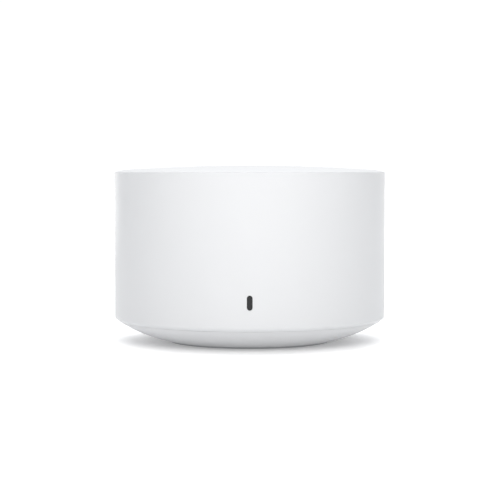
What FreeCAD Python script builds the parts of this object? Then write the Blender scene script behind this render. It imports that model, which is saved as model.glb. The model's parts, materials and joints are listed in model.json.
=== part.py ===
import FreeCAD, Part
import math
import os
import re
import Sketcher

os.makedirs("parts", exist_ok=True)
doc = FreeCAD.newDocument("mesh_wifi_node")

# ---------------------------------------------------------------- dimensions
# Every size in millimetres (angles in degrees). The origin is on the surface
# the node stands on, under its centre; +Z up, the front faces -Y.
DIMENSIONS = [
    # cutting tools
    ("cut_start", 40.0, "cuts through a side wall start this far from the centre"),
    ("cut_reach", 20.0, "and run this far"),
    ("overshoot", 1.0, "tools start this far outside what they cut"),
    ("overlap", 0.5, "pads start this far inside what they stand on"),
    # enclosure
    ("shell_radius", 53.0, "outside radius of the drum"),
    ("shell_wall", 2.2, "wall of the drum"),
    ("rim_height", 66.3, "outer edge of the rim"),
    ("rim_crest", 66.85, "rim beside the top cap"),
    ("crown_height", 68.8, "highest point of the top cap"),
    ("edge_height", 9.45, "where the wall turns into the bowl"),
    ("split_radius", 51.5, "joint line between drum and base cover"),
    ("split_height", 8.35, "joint line between drum and base cover"),
    ("joint_gap", 0.05, "hairline at the joint lines"),
    ("edge_round", 1.0, "rounding where wall and bowl meet"),
    ("rim_round", 0.6, "rounding of the outer rim"),
    ("ledge_top", 61.5, "inner ledge the carrier clamps"),
    ("ledge_width", 2.2, "inner ledge"),
    ("ledge_thick", 1.5, "inner ledge"),
    ("slot_width", 2.1, "status slot in the front wall"),
    ("slot_height", 5.5, "status slot in the front wall"),
    ("slot_level", 19.0, "centre of the status slot"),
    ("bay_half_width", 26.5, "window for the connector panel"),
    ("bay_bottom", 12.4, "window for the connector panel"),
    ("bay_top", 30.4, "window for the connector panel"),
    ("bay_round", 2.0, "corners of the window"),
    ("vent_width", 2.0, "exhaust slots high in the rear wall"),
    ("vent_bottom", 44.0, "exhaust slots"),
    ("vent_top", 56.5, "exhaust slots"),
    ("vent_count", 13, "exhaust slots"),
    ("vent_spread", 60, "angle covered by the exhaust slots"),
    # top cap
    ("cap_shoulder_radius", 49.2, "where the cap starts to dome"),
    ("cap_shoulder", 67.15, "height at the shoulder"),
    ("shoulder_round", 4.0, "rounding at the shoulder"),
    ("cap_thick_radius", 26.0, "flat underside of the cap"),
    ("cap_thick", 1.8, "cap thickness"),
    ("cap_skirt_inner", 48.9, "skirt under the cap"),
    ("cap_hook_radius", 43.7, "snap legs inside the carrier flange"),
    ("cap_hook_wall", 1.1, "snap legs"),
    ("cap_hook_reach", 0.9, "barb under the flange"),
    ("cap_hook_gap", 0.1, "between barb and flange"),
    ("cap_hook_ramp", 0.6, "start of the slope of the barb"),
    ("cap_hook_depth", 1.6, "tip of the legs below the flange"),
    ("cap_leg_width", 7.0, "snap legs"),
    ("shoulder_cover", 0.6, "legs end this far under the shoulder"),
    # base cover and foot
    ("base_under", 0.6, "underside of the base cover"),
    ("floor_top", 3.4, "inside floor of the base cover"),
    ("bowl_foot_radius", 32.6, "lower end of the bowl"),
    ("bowl_bend", 55.0, "radius of the bowl curve"),
    ("lip_outer", 50.6, "locating lip inside the drum"),
    ("lip_inner", 48.4, "locating lip inside the drum"),
    ("lip_top", 12.0, "locating lip inside the drum"),
    ("lip_step", 0.8, "foot of the lip above the joint line"),
    ("floor_step", 1.4, "edge of the inside floor beyond the end of the bowl"),
    ("bowl_foot_round", 0.4, "lower end of the bowl"),
    ("foot_outer", 31.8, "foot ring"),
    ("foot_inner", 21.0, "foot ring"),
    ("foot_top", 1.6, "foot ring"),
    ("foot_gap", 0.1, "groove is this much wider each side"),
    ("tread_depth", 0.3, "grooves in the foot ring"),
    ("tread_width", 0.8, "grooves in the foot ring"),
    ("tread_first", 23.6, "outside radius of the inner groove"),
    ("tread_pitch", 2.8, "from groove to groove"),
    ("foot_round", 0.3, "edges of the foot ring"),
    ("label_outer", 19.4, "rating label"),
    ("label_inner", 6.0, "rating label"),
    ("label_thick", 0.15, "rating label"),
    ("label_gap", 0.2, "recess wider than the label each side"),
    ("intake_inner", 36.0, "intake slots in the rear of the bowl"),
    ("intake_outer", 46.0, "intake slots"),
    ("intake_width", 2.0, "intake slots"),
    ("intake_count", 7, "intake slots"),
    ("intake_spread", 60, "angle covered by the intake slots"),
    # main board and what holds it
    ("board_radius", 47.5, "main board"),
    ("board_rear", 42.6, "flat at the rear of the board"),
    ("board_bottom", 13.0, "main board"),
    ("board_top", 14.6, "main board"),
    ("sink_screw_x", 22.0, "screws through sink, board and base"),
    ("sink_screw_front", -22.0, "same, front pair"),
    ("sink_screw_rear", 16.0, "same, rear pair"),
    ("board_screw_x", 30.5, "two rear screws of the board"),
    ("board_screw_y", 27.0, "two rear screws of the board"),
    ("post_x", 28.5, "side posts of the carrier"),
    ("post_y", -29.0, "front post of the carrier"),
    ("post_radius", 2.5, "carrier posts"),
    ("post_gap", 0.7, "board clears the posts by this"),
    ("post_bottom", 7.0, "carrier posts stand on the base bosses"),
    ("boss_radius", 3.2, "board bosses under the heat sink screws"),
    ("boss_root", 2.5, "where these bosses start in the floor"),
    ("rear_boss_radius", 3.0, "rear board bosses"),
    ("rear_boss_root", 5.0, "where the rear bosses start in the bowl"),
    ("pilot_depth", 8.0, "screw holes in the board bosses"),
    ("rear_pilot_depth", 6.0, "screw holes in the rear bosses"),
    ("seat_radius", 4.2, "bosses the carrier posts stand on"),
    ("pilot_radius", 1.25, "screw thread"),
    ("pass_radius", 1.6, "clearance hole for a screw"),
    ("head_radius", 2.75, "screw heads"),
    ("head_thick", 1.7, "screw heads"),
    ("head_round", 0.5, "screw heads"),
    ("recess_length", 3.0, "cross recess"),
    ("recess_width", 0.6, "cross recess"),
    ("recess_depth", 0.9, "cross recess"),
    ("screw_end_gap", 0.5, "heat sink screws end above the bottom of their holes"),
    ("board_screw_length", 6.0, "rear screws of the board"),
    ("base_screw_length", 11.0, "screws from below"),
    ("head_pocket", 3.1, "counterbore under the base screws"),
    ("head_seat", 3.4, "seat of the base screw heads"),
    # carrier for the antennas
    ("carrier_skirt_outer", 47.7, "ring the antennas are wrapped round"),
    ("carrier_skirt_inner", 46.2, "same"),
    ("carrier_bottom", 22.0, "same"),
    ("carrier_flange_outer", 50.5, "flange resting on the drum ledge"),
    ("cap_hook_slack", 0.3, "flange clears the barbs of the cap by this"),
    ("carrier_top", 63.0, "same"),
    ("carrier_arm_bottom", 29.5, "arms from ring to posts"),
    ("carrier_arm_top", 33.0, "arms"),
    ("carrier_arm_half", 2.5, "arms"),
    ("carrier_rear_half", 30.0, "opening over the sockets and behind the exhaust slots"),
    ("carrier_rear_top", 59.0, "same"),
    ("carrier_rear_start", 30.0, "same"),
    ("carrier_front_half", 9.0, "opening for the light board"),
    ("carrier_front_top", 29.0, "same"),
    ("post_pilot_depth", 9.0, "screw holes in the posts"),
    ("antenna_gap", 0.05, "glue between ring and antenna"),
    ("antenna_thick", 0.3, "flexible antenna"),
    ("antenna_bottom", 36.0, "flexible antenna"),
    ("antenna_top", 56.0, "flexible antenna"),
    ("antenna_angle", 36, "flexible antenna"),
    ("coax_radius", 0.565, "antenna cable"),
    ("coax_bend", 3.0, "antenna cable"),
    ("coax_level", 15.9, "height of the run over the board"),
    ("coax_line", 48.35, "radius of the vertical run"),
    ("coax_end", 39.45, "inner end of the cable"),
    ("plug_line", 38.0, "antenna sockets on the board"),
    ("socket_radius", 1.3, "antenna sockets"),
    ("socket_height", 0.9, "antenna sockets"),
    ("plug_radius", 1.4, "antenna plugs"),
    ("plug_height", 1.1, "antenna plugs"),
    # tall components
    ("processor_height", 1.6, "processor package"),
    ("coil_width", 7.0, "inductors"),
    ("coil_height", 3.4, "inductors"),
    ("coil_round", 0.8, "inductors"),
    ("capacitor_radius", 3.1, "capacitors"),
    ("capacitor_height", 6.8, "capacitors"),
    ("capacitor_round", 0.4, "capacitors"),
    # heat sink
    ("sink_half_x", 25.0, "base plate of the heat sink"),
    ("sink_front", -25.0, "base plate"),
    ("sink_rear", 19.0, "base plate"),
    ("sink_bottom", 17.9, "base plate"),
    ("sink_plate_top", 20.4, "base plate"),
    ("sink_round", 2.5, "corners of the base plate"),
    ("sink_leg_radius", 2.8, "legs on the board"),
    ("fin_top", 40.0, "fins"),
    ("fin_thick", 1.4, "fins"),
    ("fin_pitch", 4.6, "fins"),
    ("fin_count", 11, "fins"),
    ("fin_front", -18.5, "fins"),
    ("fin_rear", 12.5, "fins"),
    ("can_top", 17.4, "shield over the processor"),
    ("can_sheet", 0.3, "shield sheet"),
    ("can_round", 0.6, "corners of the shields"),
    ("radio_can", 2.6, "height of the radio shields"),
    # connector panel
    ("panel_half_width", 26.3, "connector panel"),
    ("panel_bottom", 12.6, "connector panel"),
    ("panel_top", 30.2, "connector panel"),
    ("panel_inner", 43.2, "inner face of the panel"),
    ("panel_face", 44.8, "face the connectors show in"),
    ("panel_skin", 52.6, "outer radius of the frame of the panel"),
    ("panel_frame", 1.4, "frame round the bay"),
    ("bay_inner_round", 0.8, "corners inside the frame"),
    ("flange_inner", 49.1, "flange that holds the panel behind the drum wall"),
    ("flange_outer", 50.7, "same"),
    ("flange_half", 20.0, "same"),
    ("flange_height", 2.8, "same"),
    ("wan_x", -7.3, "internet socket"),
    ("lan_x", 9.7, "network socket"),
    ("jack_front", 44.4, "front of both sockets"),
    ("jack_half_width", 8.0, "socket shield"),
    ("jack_depth", 21.3, "socket shield"),
    ("jack_height", 13.4, "socket shield"),
    ("jack_sheet", 0.25, "socket shield"),
    ("jack_gap", 0.1, "opening in the panel wider than the shield, and housing inside it"),
    ("port_half_width", 5.95, "socket mouth"),
    ("port_bottom", 2.4, "socket mouth above the board"),
    ("port_top", 10.4, "socket mouth above the board"),
    ("latch_half_width", 3.2, "latch notch"),
    ("latch_top", 12.4, "latch notch"),
    ("port_depth", 13.0, "socket cavity"),
    ("jack_side_gap", 0.15, "between housing and shield"),
    ("jack_rear_gap", 0.5, "behind the housing"),
    ("contact_width", 0.4, "socket contacts"),
    ("contact_pitch", 1.02, "socket contacts"),
    ("contact_count", 8, "socket contacts"),
    ("power_x", -20.6, "power socket"),
    ("power_level", 21.1, "power socket"),
    ("power_hole", 4.0, "opening in the panel"),
    ("power_bore", 3.15, "barrel socket"),
    ("power_bore_depth", 9.3, "barrel socket"),
    ("power_half", 4.5, "block of the barrel socket"),
    ("power_depth", 14.35, "same"),
    ("power_height", 11.0, "same"),
    ("power_round", 0.8, "same"),
    ("power_gap", 0.05, "block behind the panel"),
    ("power_nose_gap", 0.15, "nose inside its opening"),
    ("power_recess", 0.2, "nose behind the panel face"),
    ("power_pin_recess", 0.6, "pin behind the panel face"),
    ("power_pin", 1.0, "barrel socket"),
    # buttons
    ("pair_x", 21.4, "pairing button"),
    ("pair_level", 18.9, "pairing button"),
    ("pair_cap", 2.3, "pairing button"),
    ("pair_flange", 3.2, "pairing button"),
    ("run_gap", 0.1, "running clearance round both buttons"),
    ("pair_proud", 0.6, "cap ahead of the panel face"),
    ("pair_stem", 1.2, "stem between flange and plunger"),
    ("pair_reach", 2.4, "end of the stem behind the panel"),
    ("pair_switch_depth", 6.1, "key switch behind the pairing button"),
    ("flange_gap", 0.1, "flange of a button behind its stop"),
    ("flange_thick", 0.9, "flange of a button"),
    ("cap_round", 0.4, "edge of both buttons"),
    ("plunger_length", 1.5, "switch plungers"),
    ("switch_half", 3.0, "key switches"),
    ("switch_gap", 0.8, "between a button and its switch"),
    ("switch_bore", 1.8, "depth of the bore round a plunger"),
    ("plunger_radius", 1.1, "switch plungers"),
    ("plunger_gap", 0.08, "running clearance of the plungers"),
    ("reset_radius", 3.0, "reset button in the base"),
    ("reset_bottom", 1.0, "reset button"),
    ("reset_top", 8.5, "reset button"),
    ("reset_flange", 4.2, "reset button"),
    ("reset_tube", 6.0, "top of the guide tube"),
    ("reset_tube_root", 2.0, "where the guide tube starts in the floor"),
    ("reset_tube_radius", 4.6, "guide tube"),
    # status light
    ("lens_seat", 50.6, "front of the flange of the status lens"),
    ("lens_flange", 0.8, "flange thickness"),
    ("lens_rim", 1.2, "flange beyond the slot"),
    ("lens_recess", 0.35, "face of the lens behind the drum face"),
    ("lens_gap", 0.05, "lens in its slot"),
    ("led_board_y", -46.6, "front face of the light board"),
    ("led_board_top", 25.0, "light board"),
    ("led_board_width", 12.0, "light board"),
    ("led_board_thick", 1.0, "light board"),
    ("led_width", 1.6, "light source"),
    ("led_depth", 0.7, "light source"),
    ("led_height", 2.8, "light source"),
    ("guide_gap", 0.1, "light guide inside its sleeve and ahead of the light source"),
]

sheet = doc.addObject("Spreadsheet::Sheet", "dims")
for row, (alias, value, note) in enumerate(DIMENSIONS, 1):
    sheet.set(f"A{row}", alias)
    sheet.set(f"B{row}", str(value))
    sheet.set(f"C{row}", note)
    sheet.setAlias(f"B{row}", alias)
doc.recompute()

NAMES = {alias for alias, value, note in DIMENSIONS}
ORIGIN = FreeCAD.Vector(0, 0, 0)
X_AXIS = FreeCAD.Vector(1, 0, 0)
Y_AXIS = FreeCAD.Vector(0, 1, 0)
Z_AXIS = FreeCAD.Vector(0, 0, 1)
TURN_AXIS = {"XY_Plane": Z_AXIS, "XZ_Plane": Y_AXIS, "YZ_Plane": Y_AXIS}


# ------------------------------------------------------------------- helpers
def formula(text):
    """An expression over the dimension names, as FreeCAD wants it."""
    return re.sub(r"[a-z]\w*", lambda m: "dims." + m[0] if m[0] in NAMES else m[0], str(text))


def size(text):
    """The value of such an expression in millimetres."""
    return float(sheet.evalExpression(formula(text)))


def bind(thing, prop, text):
    thing.setExpression(prop, formula(text))


def new_body(name):
    return doc.addObject("PartDesign::Body", name)


def origin_part(body, role):
    return [item for item in body.Origin.OriginFeatures if item.Role == role][0]


def pin(sketch, geometry, vertex, x, y):
    """Tie one sketch point to two expressions."""
    for kind, text, axis in (("DistanceX", x, -2), ("DistanceY", y, -1)):
        value = size(text)
        if abs(value) < 1e-9:
            sketch.addConstraint(Sketcher.Constraint("PointOnObject", geometry, vertex, axis))
        else:
            rule = Sketcher.Constraint(kind, -1, 1, geometry, vertex, value)
            index = sketch.addConstraint(rule)
            bind(sketch, f"Constraints[{index}]", text)


def arc_between(start, end, bend):
    """Arc bulging to the right of start->end; bend gives its radius."""
    radius = max(abs(bend), (end - start).Length / 2)
    middle = (start + end) / 2
    chord = end - start
    side = math.copysign(1.0, bend)
    right = FreeCAD.Vector(chord.y, -chord.x, 0).normalize() * side
    drop = math.sqrt(max(radius ** 2 - chord.Length ** 2 / 4, 0.0))
    top = middle + right * (radius - drop)
    return Part.Arc(start, top, end)


def add_outline(sketch, points):
    """Close a loop through (x, y) corners; a third item bends the side that follows."""
    corners = [FreeCAD.Vector(size(point[0]), size(point[1]), 0) for point in points]
    ends = []
    for index, point in enumerate(points):
        start = corners[index]
        end = corners[(index + 1) % len(points)]
        if len(point) == 3:
            geometry = sketch.addGeometry(arc_between(start, end, size(point[2])), False)
        else:
            geometry = sketch.addGeometry(Part.LineSegment(start, end), False)
        near = (sketch.getPoint(geometry, 1) - start).Length < 1e-6
        ends.append((geometry, 1 if near else 2, 2 if near else 1))
    for index, point in enumerate(points):
        geometry, first, last = ends[index]
        after, after_first, after_last = ends[(index + 1) % len(points)]
        sketch.addConstraint(Sketcher.Constraint("Coincident", geometry, last, after, after_first))
        pin(sketch, geometry, first, point[0], point[1])
    for index, point in enumerate(points):
        if len(point) == 3:
            geometry, first, last = ends[index]
            half = (corners[(index + 1) % len(points)] - corners[index]).Length / 2
            if abs(size(point[2])) > half * 1.0001:
                rule = Sketcher.Constraint("Radius", geometry, abs(size(point[2])))
                number = sketch.addConstraint(rule)
                bind(sketch, f"Constraints[{number}]", f"abs({point[2]})")
            else:
                centre_on_chord(sketch, geometry, first, last)


def centre_on_chord(sketch, geometry, first, last):
    """A half circle: its centre sits on a construction line between its ends."""
    start = sketch.getPoint(geometry, first)
    end = sketch.getPoint(geometry, last)
    line = sketch.addGeometry(Part.LineSegment(start, end), True)
    sketch.addConstraint(Sketcher.Constraint("Coincident", line, 1, geometry, first))
    sketch.addConstraint(Sketcher.Constraint("Coincident", line, 2, geometry, last))
    sketch.addConstraint(Sketcher.Constraint("PointOnObject", geometry, 3, line))


def add_circle(sketch, x, y, radius):
    centre = FreeCAD.Vector(size(x), size(y), 0)
    geometry = sketch.addGeometry(Part.Circle(centre, Z_AXIS, size(radius)), False)
    rule = Sketcher.Constraint("Radius", geometry, size(radius))
    number = sketch.addConstraint(rule)
    bind(sketch, f"Constraints[{number}]", radius)
    pin(sketch, geometry, 3, x, y)


def draw(body, label, plane, loops, offset="0", turn="0"):
    """Sketch on an origin plane of the body. A loop is a list of corners, or (x, y, radius)."""
    sketch = body.newObject("Sketcher::SketchObject", label)
    sketch.AttachmentSupport = [(origin_part(body, plane), "")]
    sketch.MapMode = "FlatFace"
    spin = FreeCAD.Rotation(TURN_AXIS[plane], size(turn))
    sketch.AttachmentOffset = FreeCAD.Placement(Z_AXIS * size(offset), spin)
    if offset != "0":
        bind(sketch, "AttachmentOffset.Base.z", offset)
    for loop in loops:
        if isinstance(loop, tuple):
            add_circle(sketch, *loop)
        else:
            add_outline(sketch, loop)
    return sketch


def rect(x0, y0, x1, y1):
    return [(x0, y0), (x1, y0), (x1, y1), (x0, y1)]


def pill(x, y, width, height):
    """Upright slot shape with round ends."""
    left = f"{x} - ({width}) / 2"
    right = f"{x} + ({width}) / 2"
    low = f"{y} - ({height}) / 2 + ({width}) / 2"
    high = f"{y} + ({height}) / 2 - ({width}) / 2"
    bend = f"({width}) / 2"
    return [(left, low, bend), (right, low), (right, high, bend), (left, high)]


def pad(body, sketch, length, back=False):
    feature = body.newObject("PartDesign::Pad", sketch.Label + "_pad")
    feature.Profile = sketch
    bind(feature, "Length", length)
    feature.Reversed = back
    doc.recompute()
    return feature


def cut(body, sketch, length, back=False):
    """Pocket against the sketch normal, or along it with back; must remove something."""
    before = body.Shape.Volume
    feature = body.newObject("PartDesign::Pocket", sketch.Label + "_cut")
    feature.Profile = sketch
    bind(feature, "Length", length)
    feature.Reversed = back
    doc.recompute()
    if body.Shape.Volume > before - 1e-4:
        raise RuntimeError(f"{feature.Label} cuts nothing")
    return feature


def turn_solid(body, sketch):
    feature = body.newObject("PartDesign::Revolution", sketch.Label + "_turn")
    feature.Profile = sketch
    feature.ReferenceAxis = (sketch, ["V_Axis"])
    doc.recompute()
    return feature


def around(body, feature, count, angle):
    """Repeat a feature about the Z axis."""
    pattern = body.newObject("PartDesign::PolarPattern", feature.Label + "_round")
    pattern.Originals = [feature]
    pattern.Axis = (origin_part(body, "Z_Axis"), [""])
    bind(pattern, "Angle", angle)
    bind(pattern, "Occurrences", count)
    body.Tip = pattern
    doc.recompute()
    return pattern


def along(body, feature, role, count, length):
    """Repeat a feature along an axis of the body; length is first to last."""
    pattern = body.newObject("PartDesign::LinearPattern", feature.Label + "_row")
    pattern.Originals = [feature]
    pattern.Direction = (origin_part(body, role), [""])
    bind(pattern, "Length", length)
    bind(pattern, "Occurrences", count)
    body.Tip = pattern
    doc.recompute()
    return pattern


def soften(body, label, radius, wanted, kind="Fillet"):
    """Round (or chamfer) the edges of the tip that pass the test."""
    tip = body.Tip
    names = [f"Edge{n}" for n, edge in enumerate(tip.Shape.Edges, 1) if wanted(edge)]
    if not names:
        raise RuntimeError(f"{label}: no edge found")
    feature = body.newObject("PartDesign::" + kind, label)
    feature.Base = (tip, names)
    bind(feature, "Radius" if kind == "Fillet" else "Size", radius)
    doc.recompute()
    return feature


def ring_edge(radius, level):
    """Test for a circular edge about Z with this radius and height."""
    def test(edge):
        if edge.Degenerated or not isinstance(edge.Curve, Part.Circle):
            return False
        curve = edge.Curve
        centred = math.hypot(curve.Center.x, curve.Center.y) < 1e-3
        right_size = abs(curve.Radius - size(radius)) < 1e-3
        return centred and right_size and abs(curve.Center.z - size(level)) < 1e-3
    return test


def edge_along(axis, near=None):
    """Test for straight edges parallel to an axis, all of them or those near a point test."""
    def test(edge):
        if edge.Degenerated or not isinstance(edge.Curve, Part.Line):
            return False
        if abs(abs(edge.tangentAt(edge.FirstParameter).dot(axis)) - 1) > 1e-6:
            return False
        return near is None or near(edge.CenterOfMass)
    return test


def level_with(value, text):
    """Does the coordinate lie at plus or minus this size?"""
    return abs(abs(value) - size(text)) < 0.01


def box(name, x, y, z, long, wide, high):
    """Block from its low corner; every number is an expression."""
    block = doc.addObject("Part::Box", name)
    for prop, text in (("Length", long), ("Width", wide), ("Height", high)):
        bind(block, prop, text)
    place(block, x, y, z)
    return block


def rod(name, x, y, z, radius, high):
    """Upright cylinder on the centre of its foot."""
    block = doc.addObject("Part::Cylinder", name)
    bind(block, "Radius", radius)
    bind(block, "Height", high)
    place(block, x, y, z)
    return block


def place(thing, x, y, z):
    for axis, text in zip("xyz", (x, y, z)):
        bind(thing, f"Placement.Base.{axis}", text)


def lay(thing, towards):
    """Lay an upright block down so its top points at +Y or -Y."""
    thing.Placement.Rotation = FreeCAD.Rotation(X_AXIS, -90 if towards > 0 else 90)


def subtract(name, base, tool):
    result = doc.addObject("Part::Cut", name)
    result.Base = base
    result.Tool = tool
    doc.recompute()
    return result


def group(name, shape, spots):
    """Identical pieces that share one node, each a copy of the shape at a spot."""
    feature = doc.addObject("Part::Feature", name)
    feature.Shape = Part.makeCompound([shape.translated(FreeCAD.Vector(*spot)) for spot in spots])
    return feature


POSTS = [("-post_x", "0"), ("post_x", "0"), ("0", "post_y")]
SINK_SCREWS = [
    (x, y) for x in ("-sink_screw_x", "sink_screw_x") for y in ("sink_screw_front", "sink_screw_rear")
]
BOARD_SCREWS = [("-board_screw_x", "board_screw_y"), ("board_screw_x", "board_screw_y")]
PARTS = []


def keep(thing):
    """Mark an object as a finished piece, written under its own label."""
    PARTS.append(thing)
    return thing


# ----------------------------------------------------------------- enclosure
def build_outer_shell():
    body = new_body("outer_shell")
    inner = "shell_radius - shell_wall"
    ledge = "shell_radius - shell_wall - ledge_width"
    under = "ledge_top - ledge_thick"
    profile = draw(body, "drum", "XZ_Plane", [[
        ("shell_radius", "edge_height"),
        ("shell_radius", "rim_height"),
        (inner, "rim_crest"),
        (inner, "ledge_top"),
        (ledge, "ledge_top"),
        (ledge, under),
        (inner, f"{under} - ledge_width"),
        (inner, "split_height"),
        ("split_radius", "split_height"),
    ]])
    turn_solid(body, profile)
    soften(body, "edge_rounding", "edge_round", ring_edge("shell_radius", "edge_height"))
    soften(body, "rim_rounding", "rim_round", ring_edge("shell_radius", "rim_height"))
    slot = draw(body, "status_slot", "XZ_Plane",
                [pill("0", "slot_level", "slot_width", "slot_height")], "cut_start")
    cut(body, slot, "cut_reach", True)
    window = draw(body, "bay_window", "XZ_Plane",
                  [rect("-bay_half_width", "bay_bottom", "bay_half_width", "bay_top")], "-cut_start")
    cut(body, window, "cut_reach")
    soften(body, "window_corners", "bay_round",
           edge_along(Y_AXIS, lambda at: at.y > 0 and level_with(at.x, "bay_half_width")))
    vent = draw(body, "exhaust_slot", "XZ_Plane",
                [pill("0", "(vent_bottom + vent_top) / 2", "vent_width", "vent_top - vent_bottom")],
                "0", "-vent_spread / 2")
    around(body, cut(body, vent, "shell_radius + overshoot"), "vent_count", "vent_spread")
    return keep(body)


def build_top_cap():
    body = new_body("top_cap")
    rise = "(crown_height - cap_shoulder)"
    dome = f"(cap_shoulder_radius ^ 2 + {rise} ^ 2) / (2 * {rise})"
    edge = "shell_radius - shell_wall - joint_gap"
    profile = draw(body, "dome", "XZ_Plane", [[
        ("0", "crown_height - cap_thick"),
        ("cap_thick_radius", "crown_height - cap_thick"),
        ("cap_skirt_inner", "cap_shoulder - cap_thick"),
        ("cap_skirt_inner", "carrier_top"),
        (edge, "carrier_top"),
        (edge, "rim_crest"),
        ("cap_shoulder_radius", "cap_shoulder", dome),
        ("0", "crown_height"),
    ]])
    turn_solid(body, profile)
    soften(body, "shoulder_rounding", "shoulder_round", ring_edge("cap_shoulder_radius", "cap_shoulder"))
    hook_in = "cap_hook_radius - cap_hook_wall"
    hook_out = "cap_hook_radius + cap_hook_reach"
    leg_top = "cap_shoulder - shoulder_cover"
    for number in range(4):
        leg = draw(body, f"snap_leg_{number + 1}", "XZ_Plane", [[
            (hook_in, "ledge_top - cap_hook_depth"),
            ("cap_hook_radius + cap_hook_gap", "ledge_top - cap_hook_depth"),
            (hook_out, "ledge_top - cap_hook_ramp"),
            (hook_out, "ledge_top - cap_hook_gap"),
            ("cap_hook_radius", "ledge_top - cap_hook_gap"),
            ("cap_hook_radius", leg_top),
            (hook_in, leg_top),
        ]], "0", str(45 + 90 * number))
        block = pad(body, leg, "cap_leg_width")
        block.Midplane = True
    doc.recompute()
    return keep(body)


def build_base_cover():
    body = new_body("base_cover")
    joint = "split_height - joint_gap"
    profile = draw(body, "bowl", "XZ_Plane", [[
        ("0", "base_under"),
        ("bowl_foot_radius", "base_under", "bowl_bend"),
        ("split_radius", joint),
        ("lip_outer", joint),
        ("lip_outer", "lip_top"),
        ("lip_inner", "lip_top"),
        ("lip_inner", "split_height + lip_step", "-bowl_bend"),
        ("bowl_foot_radius + floor_step", "floor_top"),
        ("0", "floor_top"),
    ]])
    turn_solid(body, profile)
    soften(body, "bowl_foot_rounding", "bowl_foot_round", ring_edge("bowl_foot_radius", "base_under"))
    bosses = draw(body, "board_bosses", "XY_Plane",
                  [(x, y, "boss_radius") for x, y in SINK_SCREWS], "boss_root")
    pad(body, bosses, "board_bottom - boss_root")
    rear = draw(body, "rear_bosses", "XY_Plane",
                [(x, y, "rear_boss_radius") for x, y in BOARD_SCREWS], "rear_boss_root")
    pad(body, rear, "board_bottom - rear_boss_root")
    seats = draw(body, "post_bosses", "XY_Plane",
                 [(x, y, "seat_radius") for x, y in POSTS], "floor_top - overlap")
    pad(body, seats, "post_bottom - floor_top + overlap")
    tube = draw(body, "reset_guide", "XY_Plane", [("0", "0", "reset_tube_radius")], "reset_tube_root")
    pad(body, tube, "reset_tube - reset_tube_root")
    bore = draw(body, "reset_bore", "XY_Plane", [("0", "0", "reset_radius + run_gap")])
    cut(body, bore, "cut_reach", True)
    groove = draw(body, "foot_groove", "XY_Plane",
                  [("0", "0", "foot_outer + foot_gap"), ("0", "0", "foot_inner - foot_gap")])
    cut(body, groove, "foot_top", True)
    recess = draw(body, "label_recess", "XY_Plane",
                  [("0", "0", "label_outer + label_gap"), ("0", "0", "label_inner - label_gap")])
    cut(body, recess, "base_under + label_thick", True)
    heads = draw(body, "head_pockets", "XY_Plane", [(x, y, "head_pocket") for x, y in POSTS])
    cut(body, heads, "head_seat", True)
    holes = draw(body, "post_holes", "XY_Plane", [(x, y, "pass_radius") for x, y in POSTS])
    cut(body, holes, "cut_reach", True)
    pilots = draw(body, "board_pilots", "XY_Plane", [(x, y, "pilot_radius") for x, y in SINK_SCREWS],
                  "board_bottom - pilot_depth")
    cut(body, pilots, "pilot_depth + overshoot", True)
    rear_pilots = draw(body, "rear_pilots", "XY_Plane", [(x, y, "pilot_radius") for x, y in BOARD_SCREWS],
                       "board_bottom - rear_pilot_depth")
    cut(body, rear_pilots, "rear_pilot_depth + overshoot", True)
    slot = draw(body, "intake_slot", "XY_Plane",
                [rect("intake_inner", "-intake_width / 2", "intake_outer", "intake_width / 2")],
                "0", "90 - intake_spread / 2")
    around(body, cut(body, slot, "split_height", True), "intake_count", "intake_spread")
    return keep(body)


def build_foot_ring():
    body = new_body("foot_ring")
    outer = draw(body, "ring", "XY_Plane", [("0", "0", "foot_outer"), ("0", "0", "foot_inner")])
    pad(body, outer, "foot_top")
    treads = []
    for radius in ("tread_first", "(tread_first + tread_pitch)", "(tread_first + 2 * tread_pitch)"):
        treads.append(("0", "0", radius))
        treads.append(("0", "0", f"{radius} - tread_width"))
    cut(body, draw(body, "treads", "XY_Plane", treads), "tread_depth", True)
    soften(body, "outer_rounding", "foot_round", ring_edge("foot_outer", "0"))
    soften(body, "inner_rounding", "foot_round", ring_edge("foot_inner", "0"))
    return keep(body)


def build_rating_label():
    disc = rod("label_disc", "0", "0", "base_under", "label_outer", "label_thick")
    hole = rod("label_hole", "0", "0", "base_under - overshoot",
               "label_inner", "label_thick + 2 * overshoot")
    return keep(subtract("rating_label", disc, hole))


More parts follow.
